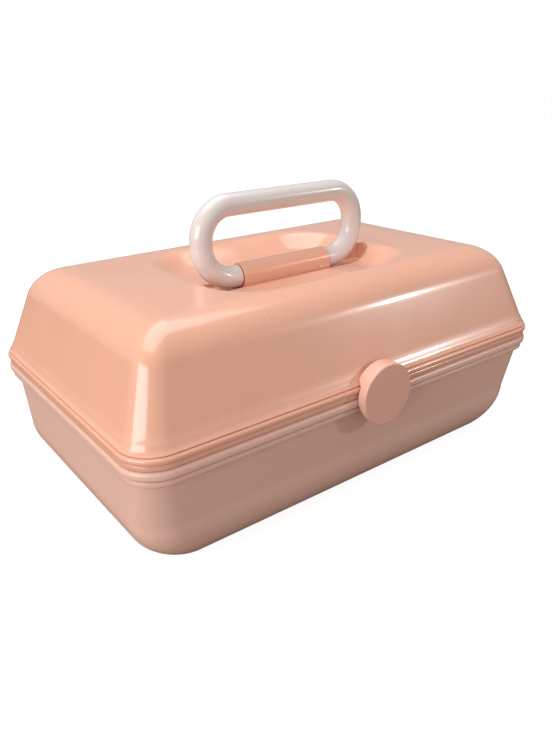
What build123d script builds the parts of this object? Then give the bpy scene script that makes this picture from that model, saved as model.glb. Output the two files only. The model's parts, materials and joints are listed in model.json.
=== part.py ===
"""Makeup storage case with a folding handle, a round latch and two trays that rise with the lid.

Millimetres. X runs along the case, the front faces -Y, Z is up. The origin is the centre of
the flat underside. The lid turns about the hinge pins behind the back rim.
"""

import os
from math import atan2, cos, degrees, hypot, pi, radians, sin, tan

from build123d import *

os.makedirs("parts", exist_ok=True)

# ---------------------------------------------------------------- driving dimensions
case_length = 318.0  # over the rim beads, along X
case_depth = 206.0  # over the rim beads, along Y
base_height = 75.0  # from the ground to the parting line
lid_height = 63.0  # from the parting line to the flat top
shell_wall = 2.4
parting_gap = 0.4
rim_corner = 21.6  # plan radius of the rim corners
corner_loss = 0.7  # share of the wall that a corner radius loses on its inner side
arc_steps = 5  # levels between the two ends of a rounding
cut_past = 1.0  # how far a cut runs past a face
join = 0.2  # how far small joined shapes reach into each other

# lid outline
lid_rim_step = 4.0  # rim bead to lid wall
lid_rim_height = 12.0
lid_wall_slope = 20.0  # degrees from vertical
shoulder_radius = 26.0
lid_top_corner = 4.0  # plan radius at the flat top

# beads round the rims: nearest and farthest level from the parting line as shares of the rim's
# height, inset as a share of its step, edge rounding as a share of the bead's own height
lid_foot_bead = (0.0, 0.283, 0.225, 0.25)
lid_main_bead = (0.25, 0.6, 0.0, 0.43)
lid_groove_bead = (0.533, 0.683, 0.475, 0.167)
lid_cove = [(0.667, 0.3), (0.8, 0.65), (1.125, 1.1)]  # level and inset shares
base_main_bead = (0.0, 0.604, 0.0, 0.39)
base_groove_bead = (0.208, 0.708, 0.52, 0.06)
base_lower_bead = (0.656, 1.0, 0.34, 0.3)
base_wall_bead = (0.0, 1.1, 1.0, 0.03)

# base outline
base_rim_step = 5.0
base_rim_height = 9.6
end_wall_draft = 0.4
front_wall_draft = 5.0
foot_round_height = 33.5  # rounding from wall to underside
foot_round_end = 43.0  # its reach inwards at the two ends
foot_round_front = 22.0  # its reach inwards at front and back
foot_corner = 8.0  # plan radius of the flat underside

# lip that stands up inside the lid
lip_thickness = 1.6
lip_height = 3.8
lip_root = 6.0
lip_clearance = 0.5

# handle and its recess in the lid top
handle_radius = 7.0
handle_half_width = 61.0  # to the centre line of the side bars
handle_reach = 44.7  # pivot to the centre line of the grip
handle_grip_bend = 20.0
handle_lower_bend = 21.0
handle_pivot_drop = 5.5  # pivot below the flat top
handle_pivot_y = -9.0
handle_seat_clearance = 0.7
sleeve_half_length = 35.0
sleeve_radius = 8.0
sleeve_end_gap = 0.6
stub_radius = 4.0
stub_length = 12.0
stub_clearance = 0.05
recess_steps = 7  # levels of the recess wall
recess_half_length = 77.0
recess_half_depth = 62.0
recess_centre_y = -4.0
recess_corner = 36.0
recess_slope = 22.0
recess_floor_corner = 15.0
recess_depth = 10.4
pocket_half_length = 74.0  # deep slot under the handle's lower bends
pocket_half_width = 10.5

# hinge
hinge_spacing = 180.0
hinge_radius = 4.5
hinge_rim_clearance = 0.6
hinge_pin_radius = 1.5
hinge_centre_knuckle = 12.0
hinge_outer_knuckle = 11.0
knuckle_gap = 0.4
web_inset = 3.0
web_depth = 4.5
pin_clearance = 0.05
pin_end_inset = 0.5

# latch
latch_radius = 19.2
latch_front = 6.5  # latch face ahead of the rim
latch_plate = 2.4
latch_wall = 1.8
latch_rim_clearance = 0.7
latch_wall_clearance = 3.2
latch_edge = 0.9
latch_pivot_height = 12.5  # above the parting line
latch_pivot_front = 0.9  # ahead of the rim
latch_barrel_radius = 2.4
latch_barrel_half_length = 4.0
latch_lug_gap = 0.35
latch_lug_thickness = 2.0
latch_lug_margin = 0.3
latch_step_foot = 7.9  # where the wall's back edge deepens over the lid's bead, above the parting line
latch_step_top = 11.6
latch_slant_top = 1.0  # where its slanted lower part starts, below the parting line
latch_slant_foot = 15.0  # where the slant meets the plate
latch_pin_radius = 1.0
hook_drop = 11.4
hook_half_width = 7.0
hook_clearance = 0.5
hook_thickness = 2.0

# tray arms
boss_length = 5.2
arm_thickness = 2.5
arm_half_width = 4.4
arm_gap = 0.3
arm_pivot_front = -24.0
arm_pivot_spacing = 50.0
arm_pivot_drop = 15.0  # below the parting line
arm_rest_angle = 165.0  # from +Y towards +Z
lower_arm_length = 30.0
upper_arm_length = 56.0
link_angle = 140.0
link_radius = 31.2
link_thickness = 2.4
link_gap = 0.6
pivot_boss_radius = 5.0
rivet_radius = 2.0
rivet_head_radius = 3.4
rivet_head = 1.1
rivet_anchor = 3.0  # length held in a boss of the lid
rivet_end_gap = 0.4
rivet_head_gap = 0.4
bore_end_wall = 0.4

# trays
tray_arm_clearance = 5.0
tray_wall = 1.8
tray_corner = 8.0
tray_floor_round = 2.5
lower_tray_front_gap = 15.4  # from the rim's outermost line
lower_tray_depth = 92.6
lower_tray_drop = 29.0  # floor below the parting line
lower_tray_height = 26.0
upper_tray_front_gap = 15.0
upper_tray_depth = 91.0
upper_tray_rise = 1.0  # floor above the parting line
upper_tray_height = 24.0
ear_half_width = 5.6
ear_height = 9.0
ear_inner_gap = 1.4
tray_boss_depth = 1.0  # boss inside the tray's end wall
divider_thickness = 1.6
divider_drop = 3.0
divider_clearance = 0.2
guide_reach = 2.4
guide_thickness = 1.4
divider_corner = 2.6
lower_dividers = (2, 92.0)  # how many, and their spacing
upper_dividers = (4, 70.0)

# mirror
mirror_half_length = 92.0
mirror_half_depth = 56.0
mirror_thickness = 2.5
mirror_corner = 8.0
mirror_clearance = 0.2
bezel_wall = 3.0
bezel_back = 1.6
bezel_lip = 2.4
bezel_lip_thickness = 1.2
bezel_edge = 0.8
bezel_top = 42.0  # back of the bezel above the parting line
post_radius = 4.0
post_inset = 7.2  # from the bezel's edge

# ---------------------------------------------------------------- derived places
half_length = case_length / 2
half_depth = case_depth / 2
parting = base_height
lid_bottom = parting + parting_gap / 2
base_top = parting - parting_gap / 2
top = parting + lid_height

hinge_y = half_depth + hinge_radius + hinge_rim_clearance
pivot_z = top - handle_pivot_drop
recess_floor = top - recess_depth
pocket_floor = pivot_z - handle_radius - handle_seat_clearance
latch_face_y = -half_depth - latch_front
latch_pivot_y = -half_depth - latch_pivot_front
latch_pivot_z = parting + latch_pivot_height

base_inner_x = half_length - base_rim_step - shell_wall
boss_face = base_inner_x - boss_length
arm_outer = boss_face - arm_gap
arm_inner = arm_outer - arm_thickness
arm_pivot_z = parting - arm_pivot_drop
arm_pivot_back = arm_pivot_front + arm_pivot_spacing
tray_face = arm_inner - arm_gap
tray_half_length = arm_inner - tray_arm_clearance
link_outer = arm_inner - link_gap
link_inner = link_outer - link_thickness
link_boss_face = link_outer + arm_gap
hole_radius = rivet_radius + pin_clearance

lower_tray_front = lower_tray_front_gap - half_depth
lower_tray_back = lower_tray_front + lower_tray_depth
lower_tray_bottom = parting - lower_tray_drop
upper_tray_front = upper_tray_front_gap - half_depth
upper_tray_back = upper_tray_front + upper_tray_depth
upper_tray_bottom = parting + upper_tray_rise
lower_tray_box = (lower_tray_front, lower_tray_back, lower_tray_bottom, lower_tray_height)
upper_tray_box = (upper_tray_front, upper_tray_back, upper_tray_bottom, upper_tray_height)

bezel_half_length = mirror_half_length + mirror_clearance + bezel_wall
bezel_half_depth = mirror_half_depth + mirror_clearance + bezel_wall


def polar(centre, length, angle):
    """The point at a length and an angle (degrees, from +Y towards +Z) from a centre (y, z)."""
    return (centre[0] + length * cos(radians(angle)), centre[1] + length * sin(radians(angle)))


hinge_point = (hinge_y, parting)
front_pivot = (arm_pivot_front, arm_pivot_z)
back_pivot = (arm_pivot_back, arm_pivot_z)
lower_pins = [polar(p, lower_arm_length, arm_rest_angle) for p in (front_pivot, back_pivot)]
upper_pins = [polar(p, upper_arm_length, arm_rest_angle) for p in (front_pivot, back_pivot)]
arm_link_pin = polar(back_pivot, link_radius, link_angle)
lid_link_pin = polar(hinge_point, link_radius, link_angle)


# ---------------------------------------------------------------- shared shapes
def outline(height, half_x, half_y, corner, centre_y=0.0):
    """A face with a rounded rectangular outline, level at a height."""
    with BuildSketch(Plane.XY.offset(height)) as face:
        with Locations((0, centre_y)):
            RectangleRounded(2 * half_x, 2 * half_y, corner)
    return face.sketch


def bead(shares, start, height, step):
    """A level slab with rounded edges that follows the rim, placed by its shares of a rim.

    The rim runs from its start level to a height above it, or below it if that is negative."""
    near, far, inset_share, edge_share = shares
    inset = inset_share * step
    if near > 0:
        start_level = parting + near * height
    else:
        start_level = start
    thickness = parting + far * height - start_level
    with BuildPart() as slab:
        with BuildSketch(Plane.XY.offset(start_level)):
            RectangleRounded(2 * (half_length - inset), 2 * (half_depth - inset), rim_corner - inset)
        extrude(amount=thickness)
        levels = slab.edges().group_by(Axis.Z)
        fillet(levels[0] + levels[-1], edge_share * abs(thickness))
    return slab.part


def rod(x_from, x_to, place, radius):
    """A round rod along X between two stations, centred on a (y, z) place."""
    with BuildPart() as shape:
        with BuildSketch(Plane.YZ.offset(min(x_from, x_to))):
            with Locations(place):
                Circle(radius)
        extrude(amount=abs(x_to - x_from))
    return shape.part


def rivet(side, shank_from, shank_to, head_from, head_to, place):
    """A rivet along X on one side of the case (side is -1 or 1), with one flat head."""
    with BuildPart() as shape:
        add(rod(side * shank_from, side * shank_to, place, rivet_radius))
        add(rod(side * head_from, side * head_to, place, rivet_head_radius))
    return shape.part


def bar(side, x_from, x_to, points, half_width):
    """A flat lever: round eyes at the (y, z) points, joined by straight bars from the first."""
    with BuildPart() as shape:
        with BuildSketch(Plane.YZ.offset(min(side * x_from, side * x_to))):
            for point in points:
                with Locations(point):
                    Circle(half_width)
            for point in points[1:]:
                span = hypot(point[0] - points[0][0], point[1] - points[0][1])
                turn = degrees(atan2(point[1] - points[0][1], point[0] - points[0][0]))
                middle = ((point[0] + points[0][0]) / 2, (point[1] + points[0][1]) / 2)
                with Locations(Location((middle[0], middle[1], 0), (0, 0, turn))):
                    Rectangle(span, 2 * half_width)
        extrude(amount=abs(x_to - x_from))
    return shape.part


# ---------------------------------------------------------------- base tub
wall_top = parting - base_rim_height


def base_sections(shell):
    """Levels of the base's rounding, from the wall down to the underside, set in by a wall."""
    sections = []
    for step in range(arc_steps + 1):
        turn = pi / 2 * step / arc_steps
        fall = 1 - cos(turn)
        inset_x = base_rim_step + end_wall_draft + shell + (foot_round_end - shell) * fall
        inset_y = base_rim_step + front_wall_draft + shell + (foot_round_front - shell) * fall
        height = shell + (foot_round_height - shell) * (1 - sin(turn))
        corner = foot_corner + (rim_corner - foot_corner) * (1 - fall) - corner_loss * shell
        sections.append(outline(height, half_length - inset_x, half_depth - inset_y, corner))
    return sections


def base_wall(shell, top_level):
    """The base's drafted wall, between the rounding and the rim, as two levels."""
    inset = base_rim_step + shell
    upper = outline(top_level, half_length - inset, half_depth - inset, rim_corner - inset)
    return [base_sections(shell)[0], upper]


with BuildPart() as base_outside:
    loft(sections=base_sections(0), ruled=False)
    loft(sections=base_wall(0, wall_top), ruled=True)
    for shares in (base_wall_bead, base_main_bead, base_groove_bead, base_lower_bead):
        add(bead(shares, base_top, -base_rim_height, base_rim_step))

with BuildPart() as base_tub:
    add(base_outside.part)
    loft(sections=base_sections(shell_wall), ruled=False, mode=Mode.SUBTRACT)
    loft(sections=base_wall(shell_wall, base_top + cut_past), ruled=True, mode=Mode.SUBTRACT)
    # lip inside the lid
    lip_inset = lid_rim_step + shell_wall + lip_clearance
    with BuildSketch(Plane.XY.offset(parting - lip_root)):
        RectangleRounded(
            2 * (half_length - lip_inset), 2 * (half_depth - lip_inset), rim_corner - lip_inset
        )
        RectangleRounded(
            2 * (half_length - lip_inset - lip_thickness),
            2 * (half_depth - lip_inset - lip_thickness),
            rim_corner - lip_inset - lip_thickness,
            mode=Mode.SUBTRACT,
        )
    extrude(amount=lip_root + lip_height)
    # outer knuckles of the two hinges
    knuckle_start = hinge_centre_knuckle / 2 + knuckle_gap
    for centre in (-hinge_spacing / 2, hinge_spacing / 2):
        for side in (-1, 1):
            start = centre + side * knuckle_start
            end = start + side * hinge_outer_knuckle
            add(rod(start, end, hinge_point, hinge_radius))
            with BuildSketch(Plane.YZ.offset(min(start, end))):
                with Locations((hinge_y, base_top)):
                    Rectangle(
                        hinge_y - half_depth + web_inset,
                        web_depth - parting_gap,
                        align=(Align.MAX, Align.MAX),
                    )
            extrude(amount=hinge_outer_knuckle)
        reach = knuckle_start + hinge_outer_knuckle
        with BuildSketch(Plane.YZ.offset(centre - reach)):
            with Locations(hinge_point):
                Circle(hinge_pin_radius + pin_clearance)
        extrude(amount=2 * reach, mode=Mode.SUBTRACT)
    # bosses that carry the tray arms
    for side in (-1, 1):
        for pivot in (front_pivot, back_pivot):
            boss_root = side * (base_inner_x + shell_wall / 2)
            add(rod(side * boss_face, boss_root, pivot, pivot_boss_radius))
            bore_start = side * (boss_face - cut_past)
            bore_end = side * (base_inner_x - bore_end_wall)
            add(rod(bore_start, bore_end, pivot, rivet_radius + pin_clearance), mode=Mode.SUBTRACT)
base_tub.part.label = "base_tub"
export_step(base_tub.part, "parts/base_tub.step")

# ---------------------------------------------------------------- lid
shoulder_centre_z = top - shoulder_radius
slope = radians(lid_wall_slope)
slope_top = shoulder_centre_z + shoulder_radius * sin(slope)
slope_run = (slope_top - parting - lid_rim_height) * tan(slope)
shoulder_inset = lid_rim_step + slope_run + shoulder_radius * cos(slope)


def lid_corner(inset, shell):
    """Plan corner radius of the lid, which shrinks evenly from the rim to the flat top."""
    share = (inset - lid_rim_step) / (shoulder_inset - lid_rim_step)
    corner = (rim_corner - lid_rim_step) * (1 - share) + lid_top_corner * share
    return max(corner - corner_loss * shell, lid_top_corner / 2)


def lid_sections(shell):
    """Levels of the lid's shoulder arc, from the sloped wall up to the flat top."""
    sections = []
    for step in range(arc_steps + 1):
        turn = slope + (pi / 2 - slope) * step / arc_steps
        inset = shoulder_inset - (shoulder_radius - shell) * cos(turn)
        height = shoulder_centre_z + (shoulder_radius - shell) * sin(turn)
        corner = lid_corner(inset, shell)
        sections.append(outline(height, half_length - inset, half_depth - inset, corner))
    return sections


def lid_wall(shell):
    """The lid's sloped wall, from the top of its rim to the shoulder, as two levels."""
    inset = lid_rim_step + shell
    level = parting + lid_rim_height
    lower = outline(level, half_length - inset, half_depth - inset, rim_corner - inset)
    return [lower, lid_sections(shell)[0]]


def lid_rim(shell, bottom):
    """The lid's upright wall behind the rim beads, from a bottom level up."""
    inset = lid_rim_step + shell
    return [outline(bottom, half_length - inset, half_depth - inset, rim_corner - inset), lid_wall(shell)[0]]


def recess_sections(grow):
    """Levels of the handle recess: its wall falls in a smooth S to the flat floor.

    Grown by the shell wall it is the bulge inside the lid, which starts halfway into that wall."""
    sections = []
    for step in range(recess_steps + 1):
        share = step / recess_steps
        inset = recess_slope * share - grow
        sunk = grow if step else grow / 2
        depth = (top - recess_floor) * (1 - cos(pi * share)) / 2 + sunk
        corner = recess_corner + (recess_floor_corner - recess_corner) * share + grow
        half_x = recess_half_length - inset
        half_y = recess_half_depth - inset
        sections.append(outline(top - depth, half_x, half_y, corner, recess_centre_y))
    return sections


def pocket(grow, ceiling):
    """The deep slot with round ends that the handle's lower bends turn in, up to a ceiling."""
    with BuildPart() as shape:
        with BuildSketch(Plane.XY.offset(pocket_floor - grow)):
            with Locations((0, handle_pivot_y)):
                SlotOverall(2 * (pocket_half_length + grow), 2 * (pocket_half_width + grow))
        extrude(amount=ceiling - pocket_floor + grow)
    return shape.part


with BuildPart() as lid_outside:
    loft(sections=lid_rim(0, lid_bottom), ruled=True)
    loft(sections=lid_wall(0), ruled=True)
    loft(sections=lid_sections(0), ruled=False)
    for shares in (lid_foot_bead, lid_main_bead, lid_groove_bead):
        add(bead(shares, lid_bottom, lid_rim_height, lid_rim_step))
    cove = []
    for level_share, inset_share in lid_cove:
        inset = inset_share * lid_rim_step
        level = parting + level_share * lid_rim_height
        cove.append(outline(level, half_length - inset, half_depth - inset, rim_corner - inset))
    loft(sections=cove[:2], ruled=True)
    loft(sections=cove[1:], ruled=True)

with BuildPart() as lid_shell:
    add(lid_outside.part)
    loft(sections=lid_rim(shell_wall, lid_bottom - cut_past), ruled=True, mode=Mode.SUBTRACT)
    loft(sections=lid_wall(shell_wall), ruled=True, mode=Mode.SUBTRACT)
    loft(sections=lid_sections(shell_wall), ruled=False, mode=Mode.SUBTRACT)
    # handle recess, its bulge inside the lid, and the pockets of the handle's bends
    loft(sections=recess_sections(shell_wall), ruled=True)
    add(pocket(shell_wall, top - shell_wall / 2))
    # posts that carry the mirror, bosses of the lid links
    post_x = bezel_half_length - post_inset
    post_y = bezel_half_depth - post_inset
    for x in (-post_x, post_x):
        for y in (-post_y, post_y):
            with BuildSketch(Plane.XY.offset(parting + bezel_top)):
                with Locations((x, y)):
                    Circle(post_radius)
            extrude(amount=lid_height - bezel_top - shell_wall / 2)
    for side in (-1, 1):
        add(rod(side * link_boss_face, side * half_length, lid_link_pin, pivot_boss_radius))
    add(lid_outside.part, mode=Mode.INTERSECT)
    loft(sections=recess_sections(0), ruled=True, mode=Mode.SUBTRACT)
    add(pocket(0, top + cut_past), mode=Mode.SUBTRACT)
    # sleeve that the handle turns in
    with BuildSketch(Plane.YZ.offset(-sleeve_half_length)):
        with Locations((handle_pivot_y, pivot_z)):
            Circle(sleeve_radius)
            Rectangle(
                2 * sleeve_radius, pivot_z - pocket_floor + shell_wall / 2, align=(Align.CENTER, Align.MAX)
            )
    extrude(amount=2 * sleeve_half_length)
    bore_length = stub_length + sleeve_end_gap
    for side in (-1, 1):
        inner = side * (sleeve_half_length - bore_length)
        place = (handle_pivot_y, pivot_z)
        bore_radius = stub_radius + stub_clearance
        add(rod(inner, side * (sleeve_half_length + cut_past), place, bore_radius), mode=Mode.SUBTRACT)
        bore_end = side * (link_boss_face + rivet_anchor + rivet_end_gap)
        add(rod(side * link_inner, bore_end, lid_link_pin, hole_radius), mode=Mode.SUBTRACT)
    # centre knuckles of the two hinges
    for centre in (-hinge_spacing / 2, hinge_spacing / 2):
        start = centre - hinge_centre_knuckle / 2
        add(rod(start, start + hinge_centre_knuckle, hinge_point, hinge_radius))
        with BuildSketch(Plane.YZ.offset(start)):
            with Locations((hinge_y, lid_bottom)):
                Rectangle(
                    hinge_y - half_depth + web_inset,
                    web_depth - parting_gap,
                    align=(Align.MAX, Align.MIN),
                )
        extrude(amount=hinge_centre_knuckle)
        bore = hinge_pin_radius + pin_clearance
        end = start + hinge_centre_knuckle
        add(rod(start - cut_past, end + cut_past, hinge_point, bore), mode=Mode.SUBTRACT)
    # lugs of the latch
    lug_start = latch_barrel_half_length + latch_lug_gap
    lug_radius = latch_barrel_radius + latch_lug_margin
    lug_back = -half_depth + lid_rim_step + cut_past
    for side in (-1, 1):
        near = side * lug_start
        far = side * (lug_start + latch_lug_thickness)
        add(rod(near, far, (latch_pivot_y, latch_pivot_z), lug_radius))
        with BuildSketch(Plane.YZ.offset(min(near, far))):
            with Locations((latch_pivot_y, latch_pivot_z)):
                Rectangle(lug_back - latch_pivot_y, lug_radius, align=(Align.MIN, Align.MAX))
        extrude(amount=latch_lug_thickness)
    lug_end = lug_start + latch_lug_thickness + cut_past
    place = (latch_pivot_y, latch_pivot_z)
    add(rod(-lug_end, lug_end, place, latch_pin_radius + pin_clearance), mode=Mode.SUBTRACT)
lid_shell.part.label = "lid_shell"
export_step(lid_shell.part, "parts/lid_shell.step")

# ---------------------------------------------------------------- hinge pins
with BuildPart() as hinge_pins:
    pin_reach = knuckle_start + hinge_outer_knuckle - pin_end_inset
    for centre in (-hinge_spacing / 2, hinge_spacing / 2):
        add(rod(centre - pin_reach, centre + pin_reach, hinge_point, hinge_pin_radius))
hinge_pins.part.label = "hinge_pins"
export_step(hinge_pins.part, "parts/hinge_pins.step")

# ---------------------------------------------------------------- handle
with BuildPart() as handle:
    end_x = sleeve_half_length + sleeve_end_gap
    with BuildLine(Plane(origin=(0, handle_pivot_y, pivot_z), x_dir=(1, 0, 0), z_dir=(0, -1, 0))) as loop:
        FilletPolyline(
            (-end_x, 0),
            (-handle_half_width, 0),
            (-handle_half_width, handle_reach),
            (handle_half_width, handle_reach),
            (handle_half_width, 0),
            (end_x, 0),
            radius=[handle_lower_bend, handle_grip_bend, handle_grip_bend, handle_lower_bend],
        )
    with BuildSketch(Plane(origin=loop.line @ 0, z_dir=loop.line % 0)):
        Circle(handle_radius)
    sweep()
    for side in (-1, 1):
        add(rod(side * (end_x - stub_length), side * end_x, (handle_pivot_y, pivot_z), stub_radius))
handle.part.label = "handle"
export_step(handle.part, "parts/handle.step")

# ---------------------------------------------------------------- latch
plate_back = latch_face_y + latch_plate
with BuildPart() as latch_disc:
    with BuildSketch(Plane.XZ.offset(-latch_face_y)):
        with Locations((0, parting)):
            Circle(latch_radius)
    extrude(amount=-latch_plate)
    fillet(latch_disc.edges().group_by(Axis.Y)[0], latch_edge)
    with BuildSketch(Plane.XZ.offset(-plate_back)):
        with Locations((0, parting)):
            Circle(latch_radius)
            Circle(latch_radius - latch_wall, mode=Mode.SUBTRACT)
    extrude(amount=-(half_depth - lid_rim_step))
    # the wall's back edge: deep above the lid's rim, clear of the beads, slanted at the bottom
    rim_front = -half_depth - latch_rim_clearance
    deep_back = -half_depth + lid_rim_step + lid_rim_height * tan(slope) / 2 - latch_wall_clearance
    cut_reach = latch_radius + cut_past
    with BuildSketch(Plane.YZ.offset(-cut_reach)):
        with BuildLine():
            Polyline(
                (0, parting + cut_reach),
                (deep_back, parting + cut_reach),
                (deep_back, parting + latch_step_top),
                (rim_front, parting + latch_step_foot),
                (rim_front, parting - latch_slant_top),
                (plate_back, parting - latch_slant_foot),
                (plate_back, parting - cut_reach),
                (0, parting - cut_reach),
                close=True,
            )
        make_face()
    extrude(amount=2 * cut_reach, mode=Mode.SUBTRACT)
    # barrel on the latch pin, and its web to the plate
    barrel = (latch_pivot_y, latch_pivot_z)
    add(rod(-latch_barrel_half_length, latch_barrel_half_length, barrel, latch_barrel_radius))
    with BuildSketch(Plane.YZ.offset(-latch_barrel_half_length)):
        with Locations(barrel):
            web = latch_pivot_y - plate_back + join
            Rectangle(web, 2 * latch_barrel_radius, align=(Align.MAX, Align.CENTER))
    extrude(amount=2 * latch_barrel_half_length)
    bore_reach = latch_barrel_half_length + cut_past
    add(rod(-bore_reach, bore_reach, barrel, latch_pin_radius + pin_clearance), mode=Mode.SUBTRACT)
    # hook that snaps over the base's bead
    with BuildSketch(Plane.YZ.offset(-hook_half_width)):
        with Locations((plate_back - join, parting - hook_drop)):
            hook_reach = -half_depth - hook_clearance - plate_back + join
            Rectangle(hook_reach, hook_thickness, align=(Align.MIN, Align.CENTER))
    extrude(amount=2 * hook_half_width)
latch_disc.part.label = "latch_disc"
export_step(latch_disc.part, "parts/latch_disc.step")

with BuildPart() as latch_pin:
    pin_half = lug_start + latch_lug_thickness
    add(rod(-pin_half, pin_half, (latch_pivot_y, latch_pivot_z), latch_pin_radius))
latch_pin.part.label = "latch_pin"
export_step(latch_pin.part, "parts/latch_pin.step")

# ---------------------------------------------------------------- mirror and its bezel
mirror_top = parting + bezel_top - bezel_back - mirror_clearance
bezel_bottom = mirror_top - mirror_thickness - mirror_clearance - bezel_lip_thickness
with BuildPart() as mirror_bezel:
    bezel_corner = mirror_corner + mirror_clearance + bezel_wall
    with BuildSketch(Plane.XY.offset(bezel_bottom)):
        RectangleRounded(2 * bezel_half_length, 2 * bezel_half_depth, bezel_corner)
    extrude(amount=parting + bezel_top - bezel_bottom)
    fillet(mirror_bezel.edges().group_by(Axis.Z)[0], bezel_edge)
    with BuildSketch(Plane.XY.offset(bezel_bottom + bezel_lip_thickness)):
        RectangleRounded(
            2 * (mirror_half_length + mirror_clearance),
            2 * (mirror_half_depth + mirror_clearance),
            mirror_corner + mirror_clearance,
        )
    extrude(amount=mirror_thickness + 2 * mirror_clearance, mode=Mode.SUBTRACT)
    with BuildSketch(Plane.XY.offset(bezel_bottom - cut_past)):
        RectangleRounded(
            2 * (mirror_half_length - bezel_lip),
            2 * (mirror_half_depth - bezel_lip),
            mirror_corner - bezel_lip,
        )
    extrude(amount=bezel_lip_thickness + 2 * cut_past, mode=Mode.SUBTRACT)
mirror_bezel.part.label = "mirror_bezel"
export_step(mirror_bezel.part, "parts/mirror_bezel.step")

with BuildPart() as mirror:
    with BuildSketch(Plane.XY.offset(mirror_top - mirror_thickness)):
        RectangleRounded(2 * mirror_half_length, 2 * mirror_half_depth, mirror_corner)
    extrude(amount=mirror_thickness)
mirror.part.label = "mirror"
export_step(mirror.part, "parts/mirror.step")


# ---------------------------------------------------------------- trays
def tray_block(front, back, bottom, height, shell):
    """A tray's outer block (shell 0) or its hollow, open at the top."""
    with BuildPart() as shape:
        rise = height + cut_past if shell else height
        depth = back - front - 2 * shell
        with BuildSketch(Plane.XY.offset(bottom + shell)):
            with Locations((0, (front + back) / 2)):
                RectangleRounded(2 * (tray_half_length - shell), depth, tray_corner - shell)
        extrude(amount=rise - shell)
        fillet(shape.edges().group_by(Axis.Z)[0], tray_floor_round)
    return shape.part


def divider_places(count, spacing):
    """Stations of the dividers along the case."""
    return [(step - (count - 1) / 2) * spacing for step in range(count)]


def guides(front, back, bottom, height, dividers):
    """Pairs of small ribs on a tray's front and back walls, which hold the dividers upright."""
    with BuildPart() as shape:
        offset_x = divider_thickness / 2 + divider_clearance + guide_thickness / 2
        for x in divider_places(*dividers):
            for side in (-1, 1):
                for wall, inward in ((front + tray_wall, 1), (back - tray_wall, -1)):
                    with BuildSketch(Plane.XY.offset(bottom + tray_wall - join)):
                        with Locations((x + side * offset_x, wall + inward * (guide_reach / 2 - join))):
                            Rectangle(guide_thickness, guide_reach + 2 * join)
                    extrude(amount=height - tray_wall - divider_drop)
    return shape.part


def divider_set(front, back, bottom, height, dividers):
    """The loose cross walls of a tray, standing on its floor between the guides."""
    with BuildPart() as shape:
        width = back - front - 2 * tray_wall - 2 * divider_clearance
        foot = bottom + tray_wall + divider_clearance
        tall = height - tray_wall - divider_clearance - divider_drop
        for x in divider_places(*dividers):
            with BuildSketch(Plane.YZ.offset(x - divider_thickness / 2)):
                with Locations(((front + back) / 2, foot + tall / 2)):
                    RectangleRounded(width, tall, divider_corner)
            extrude(amount=divider_thickness)
    return shape.part


with BuildPart() as lower_tray:
    add(tray_block(*lower_tray_box, 0))
    add(tray_block(*lower_tray_box, tray_wall), mode=Mode.SUBTRACT)
    add(guides(*lower_tray_box, lower_dividers))
    for side in (-1, 1):
        for place in lower_pins:
            inner = tray_half_length - tray_wall - tray_boss_depth
            add(rod(side * inner, side * tray_face, place, arm_half_width))
            near = side * (inner - cut_past)
            add(rod(near, side * (tray_face + cut_past), place, hole_radius), mode=Mode.SUBTRACT)
lower_tray.part.label = "lower_tray"
export_step(lower_tray.part, "parts/lower_tray.step")

with BuildPart() as upper_tray:
    add(tray_block(*upper_tray_box, 0))
    ear_inner = tray_half_length + ear_inner_gap
    for side in (-1, 1):
        for place in upper_pins:
            low = min(side * ear_inner, side * tray_face)
            with BuildSketch(Plane.YZ.offset(low)):
                with Locations(place):
                    Circle(ear_half_width)
                with Locations(place):
                    Rectangle(2 * ear_half_width, ear_height, align=(Align.CENTER, Align.MIN))
            extrude(amount=tray_face - ear_inner)
            root = tray_half_length - tray_wall - tray_boss_depth
            ear_foot = upper_tray_bottom + tray_floor_round
            with BuildSketch(Plane.YZ.offset(min(side * root, side * tray_face))):
                with Locations((place[0], ear_foot)):
                    tall = place[1] + ear_height - ear_foot
                    Rectangle(2 * ear_half_width, tall, align=(Align.CENTER, Align.MIN))
            extrude(amount=tray_face - root)
            near = side * (ear_inner - cut_past)
            add(rod(near, side * (tray_face + cut_past), place, hole_radius), mode=Mode.SUBTRACT)
    add(tray_block(*upper_tray_box, tray_wall), mode=Mode.SUBTRACT)
    add(guides(*upper_tray_box, upper_dividers))
upper_tray.part.label = "upper_tray"
export_step(upper_tray.part, "parts/upper_tray.step")

with BuildPart() as lower_tray_dividers:
    add(divider_set(*lower_tray_box, lower_dividers))
lower_tray_dividers.part.label = "lower_tray_dividers"
export_step(lower_tray_dividers.part, "parts/lower_tray_dividers.step")

with BuildPart() as upper_tray_dividers:
    add(divider_set(*upper_tray_box, upper_dividers))
upper_tray_dividers.part.label = "upper_tray_dividers"
export_step(upper_tray_dividers.part, "parts/upper_tray_dividers.step")

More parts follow.
